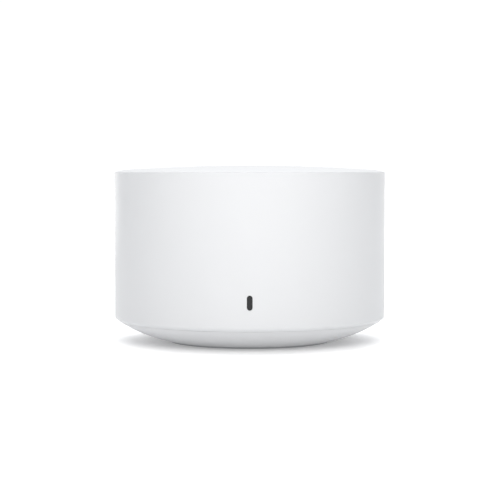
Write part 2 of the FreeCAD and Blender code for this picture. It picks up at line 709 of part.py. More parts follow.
def build_antenna_carrier():
    body = new_body("antenna_carrier")
    flange_in = "cap_hook_radius + cap_hook_reach + cap_hook_slack"
    profile = draw(body, "ring", "XZ_Plane", [[
        ("carrier_skirt_inner", "carrier_bottom"),
        ("carrier_skirt_outer", "carrier_bottom"),
        ("carrier_skirt_outer", "ledge_top"),
        ("carrier_flange_outer", "ledge_top"),
        ("carrier_flange_outer", "carrier_top"),
        (flange_in, "carrier_top"),
        (flange_in, "ledge_top"),
        ("carrier_skirt_inner", "ledge_top"),
    ]])
    turn_solid(body, profile)
    rear = draw(body, "rear_opening", "XZ_Plane", [
        rect("-carrier_rear_half", "carrier_bottom - overshoot", "carrier_rear_half", "carrier_rear_top"),
    ], "-carrier_rear_start")
    cut(body, rear, "cut_reach")
    front = draw(body, "front_opening", "XZ_Plane", [
        rect("-carrier_front_half", "carrier_bottom - overshoot",
             "carrier_front_half", "carrier_front_top"),
    ], "cut_start")
    cut(body, front, "cut_reach", True)
    reach = "(carrier_skirt_inner + overlap)"
    arms = draw(body, "arms", "XY_Plane", [
        rect("post_x", "-carrier_arm_half", reach, "carrier_arm_half"),
        rect(f"-{reach}", "-carrier_arm_half", "-post_x", "carrier_arm_half"),
        rect("-carrier_arm_half", f"-{reach}", "carrier_arm_half", "post_y"),
    ], "carrier_arm_bottom")
    pad(body, arms, "carrier_arm_top - carrier_arm_bottom")
    posts = draw(body, "posts", "XY_Plane", [(x, y, "post_radius") for x, y in POSTS], "post_bottom")
    pad(body, posts, "carrier_arm_top - post_bottom")
    pilots = draw(body, "pilots", "XY_Plane", [(x, y, "pilot_radius") for x, y in POSTS])
    cut(body, pilots, "post_bottom + post_pilot_depth", True)
    return keep(body)


def build_port_bezel():
    body = new_body("port_bezel")
    half = "panel_half_width"
    side = f"sqrt(panel_skin ^ 2 - {half} ^ 2)"
    block = draw(body, "block", "XY_Plane", [[
        (f"-{half}", "panel_inner"),
        (half, "panel_inner"),
        (half, side, "panel_skin"),
        (f"-{half}", side),
    ]], "panel_bottom")
    pad(body, block, "panel_top - panel_bottom")
    soften(body, "corner_rounding", "bay_round - (bay_half_width - panel_half_width)",
           edge_along(Y_AXIS, lambda at: level_with(at.x, half)))
    inner = f"{half} - panel_frame"
    bay = draw(body, "bay", "XZ_Plane",
               [rect(f"-({inner})", "panel_bottom + panel_frame", inner, "panel_top - panel_frame")],
               "-panel_face")
    cut(body, bay, "cut_reach")
    soften(body, "bay_corners", "bay_inner_round", edge_along(Y_AXIS, lambda at: level_with(at.x, inner)))
    openings = [rect(f"{x} - jack_half_width - jack_gap", "board_top - jack_gap",
                     f"{x} + jack_half_width + jack_gap", "board_top + jack_height + jack_gap")
                for x in ("wan_x", "lan_x")]
    openings.append(("power_x", "power_level", "power_hole"))
    openings.append(("pair_x", "pair_level", "pair_cap + run_gap"))
    holes = draw(body, "openings", "XZ_Plane", openings, "-cut_start")
    cut(body, holes, "panel_face - cut_start + overshoot")
    near = "sqrt(flange_inner ^ 2 - flange_half ^ 2)"
    far = "sqrt(flange_outer ^ 2 - flange_half ^ 2)"
    rim = draw(body, "retaining_flange", "XY_Plane", [[
        ("-flange_half", near),
        ("-flange_half", far, "-flange_outer"),
        ("flange_half", far),
        ("flange_half", near, "flange_inner"),
    ]], "panel_top - overlap")
    pad(body, rim, "flange_height + overlap")
    return keep(body)


def build_status_window():
    body = new_body("status_window")
    flange = draw(body, "flange", "XZ_Plane",
                  [pill("0", "slot_level", "slot_width + 2 * lens_rim", "slot_height + 2 * lens_rim")],
                  "lens_seat - lens_flange")
    pad(body, flange, "lens_flange")
    lens = draw(body, "lens", "XZ_Plane",
                [pill("0", "slot_level", "slot_width - 2 * lens_gap", "slot_height - 2 * lens_gap")],
                "lens_seat - lens_gap")
    pad(body, lens, "shell_radius - lens_recess - lens_seat + lens_gap")
    return keep(body)


# ------------------------------------------------------------ board and chips
def build_main_board():
    body = new_body("main_board")
    disc = draw(body, "outline", "XY_Plane", [("0", "0", "board_radius")], "board_bottom")
    pad(body, disc, "board_top - board_bottom")
    through = "board_top - board_bottom + 2 * overshoot"
    flat = draw(body, "rear_flat", "XY_Plane",
                [rect("-board_radius", "board_rear", "board_radius", "board_radius + overshoot")],
                "board_bottom - overshoot")
    cut(body, flat, through, True)
    loops = [(x, y, "post_radius + post_gap") for x, y in POSTS]
    loops += [(x, y, "pass_radius") for x, y in SINK_SCREWS + BOARD_SCREWS]
    cut(body, draw(body, "holes", "XY_Plane", loops, "board_bottom - overshoot"), through, True)
    return keep(body)


def hollow_can(name, x0, y0, x1, y1, top):
    """Sheet-metal shield standing on the board, open underneath."""
    body = new_body(name)
    pad(body, draw(body, "cover", "XY_Plane", [rect(x0, y0, x1, y1)], "board_top"), f"{top} - board_top")
    inside = rect(f"{x0} + can_sheet", f"{y0} + can_sheet", f"{x1} - can_sheet", f"{y1} - can_sheet")
    cut(body, draw(body, "inside", "XY_Plane", [inside], "board_top - overshoot"),
        f"{top} - board_top - can_sheet + overshoot", True)
    soften(body, "corner_rounding", "can_round",
           edge_along(Z_AXIS, lambda at: outside(at, x0, y0, x1, y1)))
    return keep(body)


def outside(at, x0, y0, x1, y1):
    """Is the point on an outer corner of the rectangle?"""
    on_x = min(abs(at.x - size(x0)), abs(at.x - size(x1))) < 0.01
    on_y = min(abs(at.y - size(y0)), abs(at.y - size(y1))) < 0.01
    return on_x and on_y


CHIPS = [
    # name, centre x, centre y, length, width, height
    ("processor", "0", "-6", "17", "17", "processor_height"),
    ("memory_chip_left", "-12.2", "-3", "6", "10", "1.1"),
    ("memory_chip_right", "12.2", "-3", "6", "10", "1.1"),
    ("flash_chip", "0", "7.5", "8", "6", "0.9"),
    ("radio_chip_2g", "-37.7", "0", "7", "7", "0.9"),
    ("radio_chip_5g", "37.7", "0", "7", "7", "0.9"),
    ("crystal", "20.0", "-8.0", "3.2", "2.5", "0.8"),
    ("power_controller", "-12.0", "-29.5", "4", "4", "0.9"),
]
CHIPS_UNDER = [
    ("ethernet_switch_chip", "0.5", "26.5", "9", "9", "1.0"),
    ("wan_transformer", "wan_x", "14.0", "16", "9", "4.0"),
    ("lan_transformer", "lan_x", "14.0", "16", "9", "4.0"),
]
COIL_SPOTS = [(-20.5, -32.0), (-12.0, -37.5)]
CAPACITOR_SPOTS = [(20.5, -32.0), (12.0, -36.5), (-24.6, 23.6)]


def build_chips():
    for name, x, y, long, wide, high in CHIPS:
        keep(box(name, f"{x} - {long} / 2", f"{y} - {wide} / 2", "board_top", long, wide, high))
    for name, x, y, long, wide, high in CHIPS_UNDER:
        keep(box(name, f"{x} - {long} / 2", f"{y} - {wide} / 2", f"board_bottom - {high}",
                 long, wide, high))
    pad_height = "can_top - can_sheet - board_top - processor_height"
    keep(box("processor_pad", "-7.5", "-13.5", "board_top + processor_height", "15", "15", pad_height))
    keep(box("shield_pad", "-14", "-16", "can_top", "28", "26", "sink_bottom - can_top"))
    top = size("board_top")
    width = size("coil_width")
    coil = Part.makeBox(width, width, size("coil_height"), FreeCAD.Vector(-width / 2, -width / 2, 0))
    upright = [edge for edge in coil.Edges if abs(edge.tangentAt(0).z) > 0.9]
    coil = coil.makeFillet(size("coil_round"), upright)
    keep(group("inductors", coil, [(x, y, top) for x, y in COIL_SPOTS]))
    tall = size("capacitor_height")
    can = Part.makeCylinder(size("capacitor_radius"), tall)
    rim = [edge for edge in can.Edges if edge.BoundBox.ZMin > tall - 0.01]
    can = can.makeFillet(size("capacitor_round"), rim)
    keep(group("capacitors", can, [(x, y, top) for x, y in CAPACITOR_SPOTS]))
    hollow_can("processor_shield", "-16", "-18", "16", "12", "can_top")
    hollow_can("radio_shield_2g", "-43", "-9", "-32.4", "9", "board_top + radio_can")
    hollow_can("radio_shield_5g", "32.4", "-9", "43", "9", "board_top + radio_can")


def build_heat_sink():
    body = new_body("heat_sink")
    plate = draw(body, "plate", "XY_Plane",
                 [rect("-sink_half_x", "sink_front", "sink_half_x", "sink_rear")], "sink_bottom")
    pad(body, plate, "sink_plate_top - sink_bottom")
    soften(body, "plate_corners", "sink_round",
           edge_along(Z_AXIS, lambda at: level_with(at.x, "sink_half_x")))
    legs = draw(body, "legs", "XY_Plane",
                [(x, y, "sink_leg_radius") for x, y in SINK_SCREWS], "board_top")
    pad(body, legs, "sink_bottom - board_top + overlap")
    first = "-(fin_count - 1) / 2 * fin_pitch"
    fin = draw(body, "fin", "XY_Plane",
               [rect(f"{first} - fin_thick / 2", "fin_front", f"{first} + fin_thick / 2", "fin_rear")],
               "sink_plate_top - overlap")
    block = pad(body, fin, "fin_top - sink_plate_top + overlap")
    along(body, block, "X_Axis", "fin_count", "(fin_count - 1) * fin_pitch")
    holes = draw(body, "screw_holes", "XY_Plane", [(x, y, "pass_radius") for x, y in SINK_SCREWS])
    cut(body, holes, "sink_plate_top + overshoot", True)
    return keep(body)


# ------------------------------------------------------------------- sockets
# A contact from the side, behind the front of the socket and above the board:
# a foot in the housing and a blade that leans up and back into the mouth.
CONTACT_SIDE = [
    (-12.6, 2.62), (-2.4, 2.62), (-2.4, 2.9), (-3.2, 2.92),
    (-10.2, 4.6), (-10.3, 4.3), (-4.4, 2.9), (-12.6, 2.9),
]


def build_jack(side, x):
    """One network socket: sheet shield, plastic housing, eight contacts."""
    shield = new_body(side + "_jack_shield")
    half = "jack_half_width"
    cover = rect(f"-{half}", "-jack_depth", half, "0")
    pad(shield, draw(shield, "cover", "XY_Plane", [cover]), "jack_height")
    inner = f"{half} - jack_sheet"
    inside = rect(f"-({inner})", "-jack_depth + jack_sheet", inner, "-jack_sheet")
    cut(shield, draw(shield, "inside", "XY_Plane", [inside], "-overshoot"),
        "jack_height - jack_sheet + overshoot", True)
    wall = "jack_sheet + overshoot"
    mouth = rect("-port_half_width", "port_bottom", "port_half_width", "port_top")
    cut(shield, draw(shield, "mouth", "XZ_Plane", [mouth]), wall, True)
    latch = rect("-latch_half_width", "port_top - jack_gap", "latch_half_width", "latch_top")
    cut(shield, draw(shield, "latch", "XZ_Plane", [latch]), wall, True)

    housing = new_body(side + "_jack_housing")
    wide = f"({half} - jack_sheet - jack_side_gap)"
    block = rect(f"-{wide}", "-jack_depth + jack_rear_gap", wide, "-jack_sheet - jack_gap")
    pad(housing, draw(housing, "block", "XY_Plane", [block], "jack_gap"),
        "jack_height - jack_sheet - 2 * jack_gap")
    narrow = "port_half_width - jack_gap"
    mouth = rect(f"-({narrow})", "port_bottom + jack_gap", narrow, "port_top - jack_gap")
    cut(housing, draw(housing, "cavity", "XZ_Plane", [mouth]), "port_depth", True)
    narrow = "latch_half_width - jack_gap"
    latch = rect(f"-({narrow})", "port_top - 2 * jack_gap", narrow, "latch_top - jack_gap")
    cut(housing, draw(housing, "latch", "XZ_Plane", [latch]), "port_depth", True)

    left = FreeCAD.Vector(-size("contact_width") / 2, 0, 0)
    corners = [left + FreeCAD.Vector(0, y, z) for y, z in CONTACT_SIDE + CONTACT_SIDE[:1]]
    contact = Part.Face(Part.makePolygon(corners)).extrude(X_AXIS * size("contact_width"))
    count = int(size("contact_count"))
    spots = [((n - (count - 1) / 2) * size("contact_pitch"), 0, 0) for n in range(count)]
    contacts = group(side + "_jack_contacts", contact, spots)

    for thing in (shield, housing):
        place(thing, x, "jack_front", "board_top")
        keep(thing)
    contacts.Placement.Base = FreeCAD.Vector(size(x), size("jack_front"), size("board_top"))
    keep(contacts)


def build_power_jack():
    body = new_body("power_jack")
    back = "panel_inner - power_gap"
    base = rect("power_x - power_half", f"{back} - power_depth", "power_x + power_half", back)
    pad(body, draw(body, "block", "XY_Plane", [base], "board_top"), "power_height")
    soften(body, "block_rounding", "power_round",
           edge_along(Y_AXIS, lambda at: at.z > size("power_level")))
    nose = draw(body, "nose", "XZ_Plane", [("power_x", "power_level", "power_hole - power_nose_gap")],
                "overshoot - panel_inner")
    pad(body, nose, "panel_face - panel_inner + overshoot - power_recess", True)
    bore = draw(body, "bore", "XZ_Plane", [("power_x", "power_level", "power_bore")],
                "-panel_face - overshoot")
    cut(body, bore, "power_bore_depth + power_recess + overshoot", True)
    keep(body)
    pin = rod("power_pin", "power_x", "panel_face - power_pin_recess", "power_level", "power_pin",
              "power_bore_depth + power_recess - power_pin_recess")
    lay(pin, -1)
    return keep(pin)


# ------------------------------------------------------------------ antennas
ANTENNAS = [
    # name, direction in degrees from +X
    ("antenna_2g_right", 25),
    ("antenna_2g_left", 155),
    ("antenna_5g_left", 215),
    ("antenna_5g_right", 325),
]


def build_antennas():
    for name, angle in ANTENNAS:
        outer = rod(name + "_outer", "0", "0", "antenna_bottom",
                    "carrier_skirt_outer + antenna_gap + antenna_thick", "antenna_top - antenna_bottom")
        inner = rod(name + "_inner", "0", "0", "antenna_bottom - overshoot",
                    "carrier_skirt_outer + antenna_gap", "antenna_top - antenna_bottom + 2 * overshoot")
        bind(outer, "Angle", "antenna_angle")
        patch = keep(subtract(name, outer, inner))
        patch.Placement.Rotation = FreeCAD.Rotation(Z_AXIS, angle - size("antenna_angle") / 2)
        build_coax(name.replace("antenna", "coax"), angle)
    socket = Part.makeCylinder(size("socket_radius"), size("socket_height"))
    plug = Part.makeCylinder(size("plug_radius"), size("plug_height"))
    spots = []
    for name, angle in ANTENNAS:
        turned = FreeCAD.Rotation(Z_AXIS, angle).multVec(X_AXIS * size("plug_line"))
        spots.append((turned.x, turned.y, size("board_top")))
    keep(group("antenna_sockets", socket, spots))
    keep(group("antenna_plugs", plug.translated(Z_AXIS * size("socket_height")), spots))


def build_coax(name, angle):
    """Cable from the foot of an antenna down and in to its socket on the board."""
    body = new_body(name)
    path = draw(body, "path", "XZ_Plane", [])
    corner = "coax_level + coax_bend"
    top = FreeCAD.Vector(size("coax_line"), size("antenna_bottom"), 0)
    bend_top = FreeCAD.Vector(size("coax_line"), size(corner), 0)
    bend_in = FreeCAD.Vector(size("coax_line - coax_bend"), size("coax_level"), 0)
    end = FreeCAD.Vector(size("coax_end"), size("coax_level"), 0)
    down = path.addGeometry(Part.LineSegment(top, bend_top), False)
    bend = path.addGeometry(arc_between(bend_top, bend_in, -size("coax_bend")), False)
    inward = path.addGeometry(Part.LineSegment(bend_in, end), False)
    starts_at_top = (path.getPoint(bend, 1) - bend_top).Length < 1e-6
    first, last = (1, 2) if starts_at_top else (2, 1)
    path.addConstraint(Sketcher.Constraint("Tangent", down, 2, bend, first))
    path.addConstraint(Sketcher.Constraint("Tangent", bend, last, inward, 1))
    pin(path, down, 1, "coax_line", "antenna_bottom")
    pin(path, down, 2, "coax_line", corner)
    pin(path, inward, 2, "coax_end", "coax_level")
    path.addConstraint(Sketcher.Constraint("Horizontal", inward))
    ring = draw(body, "section", "XY_Plane", [("coax_line", "0", "coax_radius")], "antenna_bottom")
    pipe = body.newObject("PartDesign::AdditivePipe", "cable")
    pipe.Profile = ring
    pipe.Spine = (path, [])
    doc.recompute()
    body.Placement.Rotation = FreeCAD.Rotation(Z_AXIS, angle)
    return keep(body)


# -------------------------------------------------------------- status light
def build_status_light():
    keep(box("led_board", "-led_board_width / 2", "led_board_y", "board_top",
             "led_board_width", "led_board_thick", "led_board_top - board_top"))
    keep(box("led_package", "-led_width / 2", "led_board_y - led_depth", "slot_level - led_height / 2",
             "led_width", "led_depth", "led_height"))
    guide = new_body("light_guide")
    shape = pill("0", "slot_level", "slot_width - 2 * guide_gap", "slot_height - 2 * guide_gap")
    near = "lens_seat - lens_flange - lens_gap"
    start = "-led_board_y + led_depth + guide_gap"
    pad(guide, draw(guide, "guide", "XZ_Plane", [shape], start), f"{near} - ({start})")
    keep(guide)
    baffle = new_body("light_baffle")
    loops = [pill("0", "slot_level", "slot_width + 2 * lens_rim", "slot_height + 2 * lens_rim"),
             pill("0", "slot_level", "slot_width", "slot_height")]
    pad(baffle, draw(baffle, "sleeve", "XZ_Plane", loops, "-led_board_y"), f"{near} + led_board_y")
    keep(baffle)


# ------------------------------------------------------- buttons and switches
def build_pair_button():
    body = new_body("pair_button")
    face = "panel_face + pair_proud"
    cap = draw(body, "cap", "XZ_Plane", [("pair_x", "pair_level", "pair_cap")], f"-({face})")
    pad(body, cap, f"{face} - panel_inner + overlap")
    flange = draw(body, "flange", "XZ_Plane", [("pair_x", "pair_level", "pair_flange")],
                  "flange_gap - panel_inner")
    pad(body, flange, "flange_thick")
    stem = draw(body, "stem", "XZ_Plane", [("pair_x", "pair_level", "pair_stem")],
                "flange_thick - panel_inner")
    pad(body, stem, "pair_reach - flange_thick")
    soften(body, "cap_rounding", "cap_round", lambda edge: level_with(edge.CenterOfMass.y, face)
           and not isinstance(edge.Curve, Part.Line))
    keep(body)
    plunger = rod("pair_switch_plunger", "pair_x", "panel_inner - pair_reach", "pair_level",
                  "plunger_radius", "plunger_length")
    lay(plunger, -1)
    keep(plunger)
    switch = new_body("pair_switch_body")
    front = "(panel_inner - pair_reach - switch_gap)"
    block = rect("pair_x - switch_half", f"{front} - pair_switch_depth", "pair_x + switch_half", front)
    pad(switch, draw(switch, "block", "XY_Plane", [block], "board_top"),
        "pair_level + switch_half - board_top")
    bore = draw(switch, "bore", "XZ_Plane", [("pair_x", "pair_level", "plunger_radius + plunger_gap")],
                f"-{front} - overshoot")
    cut(switch, bore, "switch_bore + overshoot", True)
    return keep(switch)


def build_reset_button():
    body = new_body("reset_button")
    cap = draw(body, "cap", "XY_Plane", [("0", "0", "reset_radius")], "reset_bottom")
    pad(body, cap, "reset_top - reset_bottom")
    flange = draw(body, "flange", "XY_Plane", [("0", "0", "reset_flange")], "reset_tube + flange_gap")
    pad(body, flange, "flange_thick")
    soften(body, "cap_rounding", "cap_round", ring_edge("reset_radius", "reset_bottom"))
    keep(body)
    keep(rod("reset_switch_plunger", "0", "0", "reset_top", "plunger_radius", "plunger_length"))
    switch = new_body("reset_switch_body")
    block = rect("-switch_half", "-switch_half", "switch_half", "switch_half")
    pad(switch, draw(switch, "block", "XY_Plane", [block], "reset_top + switch_gap"),
        "board_bottom - reset_top - switch_gap")
    bore = draw(switch, "bore", "XY_Plane", [("0", "0", "plunger_radius + plunger_gap")], "reset_top")
    cut(switch, bore, "switch_gap + switch_bore", True)
    return keep(switch)


# --------------------------------------------------------------------- screws
def screw(length):
    """Cross-recess screw pointing down, seat of the head at z = 0."""
    thick = size("head_thick")
    solid = Part.makeCylinder(size("head_radius"), thick)
    solid = solid.fuse(Part.makeCylinder(size("pilot_radius"), length, -Z_AXIS * length))
    rim = [edge for edge in solid.Edges if edge.BoundBox.ZMin > thick - 1e-3]
    solid = solid.makeFillet(size("head_round"), rim)
    sides = (size("recess_length"), size("recess_width"))
    for long, wide in (sides, sides[::-1]):
        floor = thick - size("recess_depth")
        groove = Part.makeBox(long, wide, thick, FreeCAD.Vector(-long / 2, -wide / 2, floor))
        solid = solid.cut(groove)
    return solid.removeSplitter()


def build_screws():
    length = size("sink_plate_top - board_bottom + pilot_depth - screw_end_gap")
    keep(group("heat_sink_screws", screw(length), spots_at(SINK_SCREWS, "sink_plate_top")))
    keep(group("board_screws", screw(size("board_screw_length")), spots_at(BOARD_SCREWS, "board_top")))
    upward = screw(size("base_screw_length"))
    upward.rotate(ORIGIN, X_AXIS, 180)
    keep(group("base_screws", upward, spots_at(POSTS, "head_seat")))


def spots_at(places, level):
    return [(size(x), size(y), size(level)) for x, y in places]


BUILDERS = [
    build_outer_shell,
    build_top_cap,
    build_base_cover,
    build_foot_ring,
    build_rating_label,
    build_antenna_carrier,
    build_port_bezel,
    build_status_window,
    build_main_board,
    build_chips,
    build_heat_sink,
    build_power_jack,
    build_antennas,
    build_status_light,
    build_pair_button,
    build_reset_button,
    build_screws,
]
for builder in BUILDERS:
    builder()
build_jack("wan", "wan_x")
build_jack("lan", "lan_x")
doc.recompute()


# ------------------------------------------------------------ check and save
def faults(thing):
    """Everything wrong with one finished piece."""
    found = []
    if thing.Shape.isNull() or not thing.Shape.isValid():
        found.append(thing.Label + " has a bad shape")
    for item in [thing] + list(getattr(thing, "Group", [])):
        if {"Invalid", "Error"} & set(item.State):
            found.append(f"{thing.Label}: {item.Label} is not up to date")
    return found


problems = [fault for thing in PARTS for fault in faults(thing)]
if problems:
    raise RuntimeError("; ".join(problems))
for thing in PARTS:
    thing.Shape.exportStep(f"parts/{thing.Label}.step")
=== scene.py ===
import json
import math

import bmesh
import bpy
from mathutils import Matrix, Vector


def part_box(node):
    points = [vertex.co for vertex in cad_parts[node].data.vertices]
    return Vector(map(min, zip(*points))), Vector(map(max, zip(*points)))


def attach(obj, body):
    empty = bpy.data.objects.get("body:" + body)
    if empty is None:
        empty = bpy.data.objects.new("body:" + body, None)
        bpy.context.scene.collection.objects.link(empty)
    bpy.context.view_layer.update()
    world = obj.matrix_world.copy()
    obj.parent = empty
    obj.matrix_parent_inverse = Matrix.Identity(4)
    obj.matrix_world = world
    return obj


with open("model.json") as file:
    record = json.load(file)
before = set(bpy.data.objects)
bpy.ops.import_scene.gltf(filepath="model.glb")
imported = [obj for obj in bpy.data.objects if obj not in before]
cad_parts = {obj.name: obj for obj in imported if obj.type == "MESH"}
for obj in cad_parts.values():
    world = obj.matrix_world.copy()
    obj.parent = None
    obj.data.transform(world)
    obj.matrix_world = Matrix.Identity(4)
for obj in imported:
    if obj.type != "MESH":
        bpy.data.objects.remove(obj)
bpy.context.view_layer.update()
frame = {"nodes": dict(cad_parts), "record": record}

MM = 0.001

# ---------------------------------------------- the view, in metres and radians
CAMERA_BACK = 0.62
CAMERA_SIDE = 0.0001
CAMERA_BELOW_CREST = 0.0005
CAMERA_DOWN = 0.0495
LENS = 113.3    # millimetres, as is the sensor
SENSOR = 36.0

# ------------------------------------------------------------------ the light
SKY_BASE = 0.3
SKY_LOBES = [
    # direction, gain, power
    ((0, -1, 0), 0.2, 2.0),
    ((0, 1, 1), 1.15, 2.0),
    ((0, 0, 1), 1.2, 4.0),
]
SKY_COLOUR = (0.98, 0.99, 1.0, 1)
BACKDROP = 1.06
LIGHTS = [
    # name, place, aim, size, power, mirrored in glossy surfaces
    ("near", (0.01, -0.3, 0.16), (0, -0.05, 0.06), 0.15, 0.4, False),
    ("rim_left", (-0.5, 1.0, 0.1), (0, 0, 0.04), 0.4, 0.5, True),
    ("rim_right", (0.5, 1.0, 0.1), (0, 0, 0.04), 0.4, 0.2, True),
]
LIGHT_COLOUR = (1.0, 0.985, 0.96)
FLOOR_COLOUR = (0.93, 0.93, 0.93)
FLOOR_GLOW = 0.18
FLOOR_ROUGHNESS = 0.9
FLOOR_SIZE = 12.0
FLOOR_DROP = 0.02 * MM

# ------------------------------------------- what all procedural finishes share
COAT_ROUGHNESS = 0.08
CLOUD_SCALE = 35.0
CLOUD_DETAIL = 4.0
GRAIN_DETAIL = 2.0
GRAIN_HIGH = 0.05 * MM
LOWEST_ROUGHNESS = 0.02

# ------------------------------------------------ small parts, in millimetres
WINDOW = (2.6, 0.5, 1.9)
WINDOW_INSET = 1.0
WINDOW_BELOW_TOP = 0.45
WINDOW_SUNK = 0.05
WINDOW_EDGE = 0.12
RESISTOR = (1.1, 0.8, 0.40)
CAPACITOR = (1.1, 0.9, 0.85)
END_LONG = 0.3
CHIP_EDGE = 0.06
CHIP_PITCH = (2.4, 2.2)
CHIPS_ABOVE = (    # (first place, count) across, then along, for each group on the board
    ((18.6, 3), (-4.4, 8)),
    ((-23.4, 3), (-11.0, 11)),
    ((-4.8, 5), (-43.0, 4)),
)
CHIPS_BELOW = (
    ((8.4, 4), (22.0, 4)),
    ((-15.0, 4), (22.0, 4)),
)
LEAD_THICK = 0.12
LEAD_SHORT = [(-0.05, 0.5), (0.3, 0.5), (0.5, 0.03), (1.0, 0.03)]
LEAD_UNDER = [(-0.05, -0.6), (0.3, -0.6), (0.5, -0.15), (1.0, -0.15)]
LEAD_TALL = [(-0.05, -2.2), (0.35, -2.2), (0.6, -0.15), (1.3, -0.15)]
SOLDER_CONE = [(0, 0), (0.75, 0), (0.58, -0.12), (0.42, -0.35), (0.30, -0.70), (0.22, -0.95), (0, -1.05)]
SOCKET_PIN_FIRST = -3.57
SOCKET_PIN_PITCH = 1.02
SOCKET_PIN_COUNT = 8
SOCKET_PIN_ROW = 34.0
SOCKET_PIN_STAGGER = 2.5
SHIELD_TAB_ROW = 38.5
SHIELD_TAB_INSET = 1.0
POWER_PINS = ((0, 31.0), (0, 36.0), (3.2, 38.5))    # from the middle of the power socket
SWITCH_PIN_INSET = 0.9
SWITCH_PIN_ROWS = (1.0, 4.0)
DOT = [(0, -0.02), (0.35, -0.02), (0.35, 0.02), (0, 0.02)]
DOT_INSET = 1.0
PRINT_HIGH = 0.06
PRINT_SUNK = 0.02
PRINT_EDGE = 0.012
BAR_WIDE = 0.7
TITLE_BARS = ((8.6, 17.0), (10.2, 14.0), (11.8, 16.0), (13.4, 9.0))    # (row, length)
NOTE_BARS = ((-1.6, 6.0), (0, 8.0), (1.6, 5.0))
NOTE_SIDE = 13.0
STRIPES = (0.3, 0.6, 0.3, 0.9, 0.45)
STRIPE_COUNT = 16
STRIPE_START = -8.4
STRIPE_GAP = 0.55
STRIPE_LONG = 5.0
STRIPE_ROW = -11.5
TRACE_CELL = (1.5, 2.0)
TRACE_HIGH = 0.05
ANTENNA_RADIUS = 48.05
ANTENNA_ANGLES = (25, 155, 215, 325)
TRACE = (
    "##################",
    "#.................",
    "#.###############.",
    "#.#.............#.",
    "#.#.###########.#.",
    "#.#...........#.#.",
    "#.#############.#.",
    "#...............#.",
    "#################.",
)


def material(name, colour, roughness, metallic=0.0, coat=0.0, grain=0.0,
             grain_scale=900.0, tint=0.03, wear=0.06):
    """Principled finish with a slight procedural drift in colour, gloss and surface."""
    made = bpy.data.materials.new(name)
    made.use_nodes = True
    nodes = made.node_tree.nodes
    links = made.node_tree.links
    shader = nodes["Principled BSDF"]
    shader.inputs["Metallic"].default_value = metallic
    shader.inputs["Coat Weight"].default_value = coat
    shader.inputs["Coat Roughness"].default_value = COAT_ROUGHNESS
    place = nodes.new("ShaderNodeTexCoord")
    cloud = nodes.new("ShaderNodeTexNoise")
    cloud.inputs["Scale"].default_value = CLOUD_SCALE
    cloud.inputs["Detail"].default_value = CLOUD_DETAIL
    links.new(place.outputs["Object"], cloud.inputs["Vector"])
    shade = nodes.new("ShaderNodeMix")
    shade.data_type = "RGBA"
    low = [channel * (1 - tint) for channel in colour]
    high = [min(channel * (1 + tint), 1.0) for channel in colour]
    shade.inputs["A"].default_value = (*low, 1)
    shade.inputs["B"].default_value = (*high, 1)
    links.new(cloud.outputs["Fac"], shade.inputs["Factor"])
    links.new(shade.outputs["Result"], shader.inputs["Base Color"])
    gloss = nodes.new("ShaderNodeMapRange")
    gloss.inputs["To Min"].default_value = max(roughness - wear, LOWEST_ROUGHNESS)
    gloss.inputs["To Max"].default_value = min(roughness + wear, 1.0)
    links.new(cloud.outputs["Fac"], gloss.inputs["Value"])
    links.new(gloss.outputs["Result"], shader.inputs["Roughness"])
    if grain:
        fine = nodes.new("ShaderNodeTexNoise")
        fine.inputs["Scale"].default_value = grain_scale
        fine.inputs["Detail"].default_value = GRAIN_DETAIL
        links.new(place.outputs["Object"], fine.inputs["Vector"])
        bump = nodes.new("ShaderNodeBump")
        bump.inputs["Strength"].default_value = grain
        bump.inputs["Distance"].default_value = GRAIN_HIGH
        links.new(fine.outputs["Fac"], bump.inputs["Height"])
        links.new(bump.outputs["Normal"], shader.inputs["Normal"])
    return made


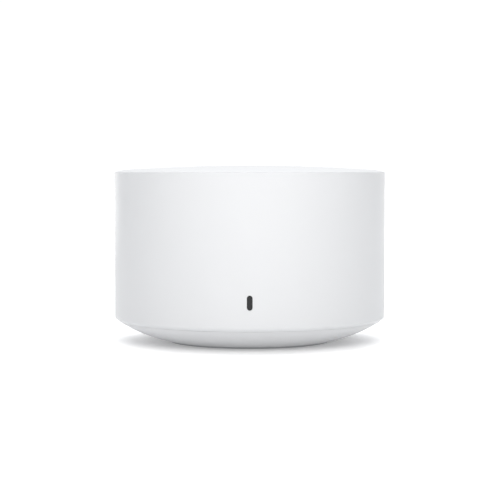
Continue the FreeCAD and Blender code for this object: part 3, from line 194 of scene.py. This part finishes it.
FINISHES = {
    "shell_white": dict(colour=(0.62, 0.626, 0.64), roughness=0.36, grain=0.10, grain_scale=2500,
                        tint=0.004),
    "foot_rubber": dict(colour=(0.52, 0.53, 0.54), roughness=0.75, grain=0.3),
    "label_film": dict(colour=(0.60, 0.61, 0.62), roughness=0.35, tint=0.01),
    "carrier_plastic": dict(colour=(0.05, 0.05, 0.055), roughness=0.55, grain=0.2),
    "panel_plastic": dict(colour=(0.52, 0.525, 0.535), roughness=0.45, grain=0.2, grain_scale=2500,
                          tint=0.006),
    "smoked_lens": dict(colour=(0.006, 0.006, 0.007), roughness=0.30),
    "light_guide": dict(colour=(0.75, 0.78, 0.80), roughness=0.15),
    "black_rubber": dict(colour=(0.02, 0.02, 0.02), roughness=0.8, grain=0.3),
    "board_green": dict(colour=(0.012, 0.085, 0.040), roughness=0.30, coat=0.3, tint=0.12),
    "chip_black": dict(colour=(0.022, 0.022, 0.024), roughness=0.55, grain=0.25),
    "ferrite": dict(colour=(0.060, 0.060, 0.065), roughness=0.7, grain=0.4),
    "shield_steel": dict(colour=(0.62, 0.63, 0.64), roughness=0.32, metallic=1.0, tint=0.04),
    "sink_aluminium": dict(colour=(0.70, 0.71, 0.72), roughness=0.38, metallic=1.0, grain=0.15, tint=0.04),
    "thermal_pad": dict(colour=(0.30, 0.38, 0.52), roughness=0.85, grain=0.3),
    "socket_black": dict(colour=(0.020, 0.020, 0.022), roughness=0.42, grain=0.15),
    "contact_gold": dict(colour=(0.85, 0.62, 0.25), roughness=0.25, metallic=1.0),
    "pin_nickel": dict(colour=(0.72, 0.71, 0.69), roughness=0.2, metallic=1.0),
    "antenna_film": dict(colour=(0.36, 0.17, 0.035), roughness=0.3, coat=0.3, tint=0.08),
    "coax_jacket": dict(colour=(0.03, 0.03, 0.033), roughness=0.35),
    "capacitor_can": dict(colour=(0.55, 0.56, 0.58), roughness=0.35, metallic=1.0),
    "led_white": dict(colour=(0.85, 0.84, 0.76), roughness=0.3),
    "button_grey": dict(colour=(0.42, 0.43, 0.45), roughness=0.42, grain=0.15, tint=0.01),
    "switch_black": dict(colour=(0.03, 0.03, 0.033), roughness=0.5, grain=0.15),
    "screw_steel": dict(colour=(0.50, 0.51, 0.53), roughness=0.3, metallic=1.0, tint=0.05),
}
finishes = {slot: material(slot, **look) for slot, look in FINISHES.items()}


def dress_nodes():
    """Give every CAD node the procedural finish of its material slot."""
    for part in frame["record"]["subparts"]:
        node = frame["nodes"][part["node"]]
        for place in node.material_slots:
            place.material = finishes[part["material_slot"]]


def blocks(boxes, edge):
    """Blocks with bevelled edges, from (x, y, bottom, long, wide, high) boxes."""
    shape = bmesh.new()
    for x, y, bottom, long, wide, high in boxes:
        place = Matrix.Translation((x, y, bottom + high / 2)) @ Matrix.Diagonal((long, wide, high, 1))
        bmesh.ops.create_cube(shape, size=1.0, matrix=place)
    bmesh.ops.bevel(shape, geom=list(shape.edges), offset=edge, segments=2, profile=0.7, affect="EDGES")
    return shape


def lathe(profile, sides=20):
    """Closed solid of revolution from (radius, height) pairs that start and end on the axis."""
    shape = bmesh.new()
    rings = []
    for radius, height in profile:
        turns = [math.tau * n / sides for n in range(sides if radius else 1)]
        rings.append([shape.verts.new((radius * math.cos(turn), radius * math.sin(turn), height))
                      for turn in turns])
    for near, far in zip(rings, rings[1:]):
        for n in range(sides):
            m = (n + 1) % sides
            around = (near[n % len(near)], near[m % len(near)], far[m % len(far)], far[n % len(far)])
            shape.faces.new(list(dict.fromkeys(around)))
    bmesh.ops.recalc_face_normals(shape, faces=list(shape.faces))
    return shape


def strip(path, wide, thick):
    """Bent metal strip along (out, height) pairs."""
    shape = bmesh.new()
    rows = []
    for out, height in path:
        rows.append([shape.verts.new((out, side * wide / 2, height + lift * thick))
                     for side, lift in ((-1, 0), (1, 0), (1, 1), (-1, 1))])
    for near, far in zip(rows, rows[1:]):
        for n in range(4):
            m = (n + 1) % 4
            shape.faces.new((near[n], near[m], far[m], far[n]))
    shape.faces.new(rows[0])
    shape.faces.new(rows[-1])
    bmesh.ops.recalc_face_normals(shape, faces=list(shape.faces))
    return shape


def relief(cells, high):
    """Raised pattern of unit cells, closed on every side, standing on z = 0."""
    shape = bmesh.new()
    corners = {}

    def corner(x, y, z):
        if (x, y, z) not in corners:
            corners[x, y, z] = shape.verts.new((x, y, z * high))
        return corners[x, y, z]

    for x, y in cells:
        rim = ((x, y), (x + 1, y), (x + 1, y + 1), (x, y + 1))
        shape.faces.new([corner(i, j, 1) for i, j in rim])
        shape.faces.new([corner(i, j, 0) for i, j in reversed(rim)])
        for n, beyond in enumerate(((x, y - 1), (x + 1, y), (x, y + 1), (x - 1, y))):
            if beyond not in cells:
                one, two = rim[n], rim[(n + 1) % 4]
                shape.faces.new((corner(*one, 0), corner(*two, 0), corner(*two, 1), corner(*one, 1)))
    return shape


def scatter(name, slot, shapes_at, smooth=False):
    """One piece made of small shapes, each placed at (x, y, z, turn) in millimetres."""
    points, faces = [], []
    for shape, spots in shapes_at:
        shape.verts.index_update()
        for x, y, z, turn in spots:
            first = len(points)
            place = Matrix.Translation((x, y, z)) @ Matrix.Rotation(math.radians(turn), 4, "Z")
            points += [(place @ vertex.co) * MM for vertex in shape.verts]
            faces += [[first + vertex.index for vertex in face.verts] for face in shape.faces]
        shape.free()
    mesh = bpy.data.meshes.new(name)
    mesh.from_pydata(points, [], faces)
    for face in mesh.polygons:
        face.use_smooth = smooth
    mesh.materials.append(finishes[slot])
    piece = bpy.data.objects.new(name, mesh)
    bpy.context.collection.objects.link(piece)
    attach(piece, "node")
    return piece


def span(node):
    """Lowest and highest corner of a CAD node, in millimetres."""
    low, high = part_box(node)
    return low / MM, high / MM


def steps(first, step, count):
    return [first + step * n for n in range(count)]


def grid(groups, level):
    """Places for chips on the board: some left empty, and every other one turned."""
    spots = []
    for across, along in groups:
        for i, x in enumerate(steps(across[0], CHIP_PITCH[0], across[1])):
            for j, y in enumerate(steps(along[0], CHIP_PITCH[1], along[1])):
                if (3 * i + 5 * j) % 7:
                    spots.append((x, y, level, 90 * ((i + j) % 2)))
    return spots


def beside(node, level, pitch, count, turns):
    """Places for leads along the sides of a chip, facing out."""
    low, high = span(node)
    middle, half = (low + high) / 2, (high - low) / 2
    spots = []
    for turn in turns:
        out = half.x if turn % 180 == 0 else half.y
        for along in steps(-(count - 1) / 2 * pitch, pitch, count):
            reach = Matrix.Rotation(math.radians(turn), 3, "Z") @ Vector((out, along, 0))
            spots.append((middle.x + reach.x, middle.y + reach.y, level, turn))
    return spots


def build_passives(top, bottom):
    """Resistors and capacitors on both faces of the board, each with two metal ends."""
    above = grid(CHIPS_ABOVE, top)
    below = grid(CHIPS_BELOW, bottom)
    capacitors = [(above[0::3], 0), (below[0::3], -1)]
    resistors = [(above[1::3] + above[2::3], 0), (below[1::3] + below[2::3], -1)]
    ends = []
    for name, slot, body, groups in (("chip_capacitors", "ferrite", CAPACITOR, capacitors),
                                     ("chip_resistors", "chip_black", RESISTOR, resistors)):
        long, wide, high = body
        shift = (long + END_LONG) / 2
        bodies = []
        for spots, side in groups:
            bodies.append((blocks([(0, 0, side * high, long, wide, high)], CHIP_EDGE), spots))
            caps = [(x, 0, side * high, END_LONG, wide, high) for x in (-shift, shift)]
            ends.append((blocks(caps, CHIP_EDGE), spots))
        scatter(name, slot, bodies)
    scatter("chip_ends", "pin_nickel", ends)


def build_leads(top, bottom):
    """Gull-wing leads of the chips, and solder cones under the board."""
    transformers = (beside("wan_transformer", bottom, 1.27, 11, (90, -90))
                    + beside("lan_transformer", bottom, 1.27, 11, (90, -90)))
    scatter("chip_leads", "pin_nickel", [
        (strip(LEAD_SHORT, 0.42, LEAD_THICK), beside("flash_chip", top, 1.27, 4, (90, -90))),
        (strip(LEAD_UNDER, 0.28, LEAD_THICK),
         beside("ethernet_switch_chip", bottom, 0.6, 12, (0, 90, 180, -90))),
        (strip(LEAD_TALL, 0.5, LEAD_THICK), transformers),
    ])
    joints = []
    for side in ("wan", "lan"):
        low, high = span(side + "_jack_shield")
        middle = (low.x + high.x) / 2
        for n, x in enumerate(steps(SOCKET_PIN_FIRST, SOCKET_PIN_PITCH, SOCKET_PIN_COUNT)):
            joints.append((middle + x, SOCKET_PIN_ROW + SOCKET_PIN_STAGGER * (n % 2), bottom, 0))
        for x in (low.x + SHIELD_TAB_INSET, high.x - SHIELD_TAB_INSET):
            joints.append((x, SHIELD_TAB_ROW, bottom, 0))
    low, high = span("power_jack")
    joints += [((low.x + high.x) / 2 + x, y, bottom, 0) for x, y in POWER_PINS]
    low, high = span("pair_switch_body")
    for x in (low.x + SWITCH_PIN_INSET, high.x - SWITCH_PIN_INSET):
        joints += [(x, low.y + row, bottom, 0) for row in SWITCH_PIN_ROWS]
    scatter("solder_cones", "pin_nickel", [(lathe(SOLDER_CONE), joints)], smooth=True)


def build_marks():
    """A first-pin dot on each chip, and plain bars printed on the rating label."""
    dots = []
    for node in ("memory_chip_left", "memory_chip_right", "flash_chip", "radio_chip_2g", "radio_chip_5g"):
        low, high = span(node)
        dots.append((low.x + DOT_INSET, high.y - DOT_INSET, high.z, 0))
    low, high = span("ethernet_switch_chip")
    dots.append((low.x + DOT_INSET, high.y - DOT_INSET, low.z, 0))
    scatter("chip_dots", "led_white", [(lathe(DOT), dots)])
    face = span("rating_label")[0].z - PRINT_HIGH + PRINT_SUNK
    bars = [(0, row, face, long, BAR_WIDE, PRINT_HIGH) for row, long in TITLE_BARS]
    for side in (-NOTE_SIDE, NOTE_SIDE):
        bars += [(side, row, face, long, BAR_WIDE, PRINT_HIGH) for row, long in NOTE_BARS]
    x = STRIPE_START
    for n in range(STRIPE_COUNT):
        wide = STRIPES[n % len(STRIPES)]
        bars.append((x + wide / 2, STRIPE_ROW, face, wide, STRIPE_LONG, PRINT_HIGH))
        x += wide + STRIPE_GAP
    scatter("label_print", "chip_black", [(blocks(bars, PRINT_EDGE), [(0, 0, 0, 0)])])


def build_socket_windows():
    """Two light windows in the front of each network socket."""
    boxes = []
    for side in ("wan", "lan"):
        low, high = span(side + "_jack_shield")
        for x in (low.x + WINDOW_INSET + WINDOW[0] / 2, high.x - WINDOW_INSET - WINDOW[0] / 2):
            boxes.append((x, high.y - WINDOW_SUNK, high.z - WINDOW_BELOW_TOP - WINDOW[2], *WINDOW))
    scatter("socket_windows", "light_guide", [(blocks(boxes, WINDOW_EDGE), [(0, 0, 0, 0)])])


def build_traces():
    """Raised conductor on the outside of each flexible antenna."""
    low, high = span("antenna_2g_left")
    cells = {(column, row) for row, line in enumerate(TRACE)
             for column, mark in enumerate(line) if mark == "#"}
    shape = relief(cells, TRACE_HIGH)
    for corner in shape.verts:
        turn = (corner.co.x - len(TRACE[0]) / 2) * TRACE_CELL[0] / ANTENNA_RADIUS
        reach = ANTENNA_RADIUS + corner.co.z
        height = (corner.co.y - len(TRACE) / 2) * TRACE_CELL[1]
        corner.co = Vector((reach * math.cos(turn), reach * math.sin(turn), height))
    spots = [(0, 0, (low.z + high.z) / 2, angle) for angle in ANTENNA_ANGLES]
    scatter("antenna_traces", "contact_gold", [(shape, spots)])


def build_small_parts():
    low, high = span("main_board")
    build_passives(high.z, low.z)
    build_leads(high.z, low.z)
    build_marks()
    build_socket_windows()
    build_traces()


def build_camera():
    data = bpy.data.cameras.new("camera")
    data.lens = LENS
    data.sensor_width = SENSOR
    camera = bpy.data.objects.new("camera", data)
    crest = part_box("outer_shell")[1].z
    camera.location = (CAMERA_SIDE, -CAMERA_BACK, crest - CAMERA_BELOW_CREST)
    camera.rotation_euler = (math.pi / 2 - CAMERA_DOWN, 0, 0)
    bpy.context.collection.objects.link(camera)
    bpy.context.scene.camera = camera


def build_floor():
    bpy.ops.mesh.primitive_plane_add(size=FLOOR_SIZE, location=(0, 0, -FLOOR_DROP))
    floor = bpy.context.object
    floor.name = "floor"
    made = material("floor_paper", FLOOR_COLOUR, FLOOR_ROUGHNESS, tint=0.002)
    shader = made.node_tree.nodes["Principled BSDF"]
    shader.inputs["Emission Color"].default_value = (1, 1, 1, 1)
    shader.inputs["Emission Strength"].default_value = FLOOR_GLOW
    floor.data.materials.append(made)


def area_light(name, place, aim, size, power, mirrored):
    data = bpy.data.lights.new(name, "AREA")
    data.shape = "DISK"
    data.size = size
    data.energy = power
    data.color = LIGHT_COLOUR
    light = bpy.data.objects.new(name, data)
    light.location = place
    light.rotation_euler = (Vector(aim) - Vector(place)).to_track_quat("-Z", "Y").to_euler()
    light.visible_camera = False
    light.visible_glossy = mirrored
    bpy.context.collection.objects.link(light)


def build_sky():
    """White surroundings, brightest behind and above; the camera sees one plain white backdrop."""
    world = bpy.data.worlds.new("studio")
    bpy.context.scene.world = world
    world.use_nodes = True
    nodes = world.node_tree.nodes
    links = world.node_tree.links
    where = nodes.new("ShaderNodeTexCoord")
    total = None
    for direction, gain, power in SKY_LOBES:
        facing = nodes.new("ShaderNodeVectorMath")
        facing.operation = "DOT_PRODUCT"
        facing.inputs[1].default_value = Vector(direction).normalized()
        links.new(where.outputs["Generated"], facing.inputs[0])
        ahead = nodes.new("ShaderNodeMath")
        ahead.operation = "MAXIMUM"
        ahead.inputs[1].default_value = 0.0
        links.new(facing.outputs["Value"], ahead.inputs[0])
        lobe = nodes.new("ShaderNodeMath")
        lobe.operation = "POWER"
        lobe.inputs[1].default_value = power
        links.new(ahead.outputs["Value"], lobe.inputs[0])
        added = nodes.new("ShaderNodeMath")
        added.operation = "MULTIPLY_ADD"
        added.inputs[1].default_value = gain
        links.new(lobe.outputs["Value"], added.inputs[0])
        if total is None:
            added.inputs[2].default_value = SKY_BASE
        else:
            links.new(total, added.inputs[2])
        total = added.outputs["Value"]
    ray = nodes.new("ShaderNodeLightPath")
    seen = nodes.new("ShaderNodeMix")
    seen.inputs["B"].default_value = BACKDROP
    links.new(ray.outputs["Is Camera Ray"], seen.inputs["Factor"])
    links.new(total, seen.inputs["A"])
    back = nodes["Background"]
    links.new(seen.outputs["Result"], back.inputs["Strength"])
    back.inputs["Color"].default_value = SKY_COLOUR


def build_light():
    build_sky()
    for light in LIGHTS:
        area_light(*light)


dress_nodes()
build_small_parts()
build_camera()
build_floor()
build_light()
bpy.context.scene.view_settings.view_transform = "Standard"
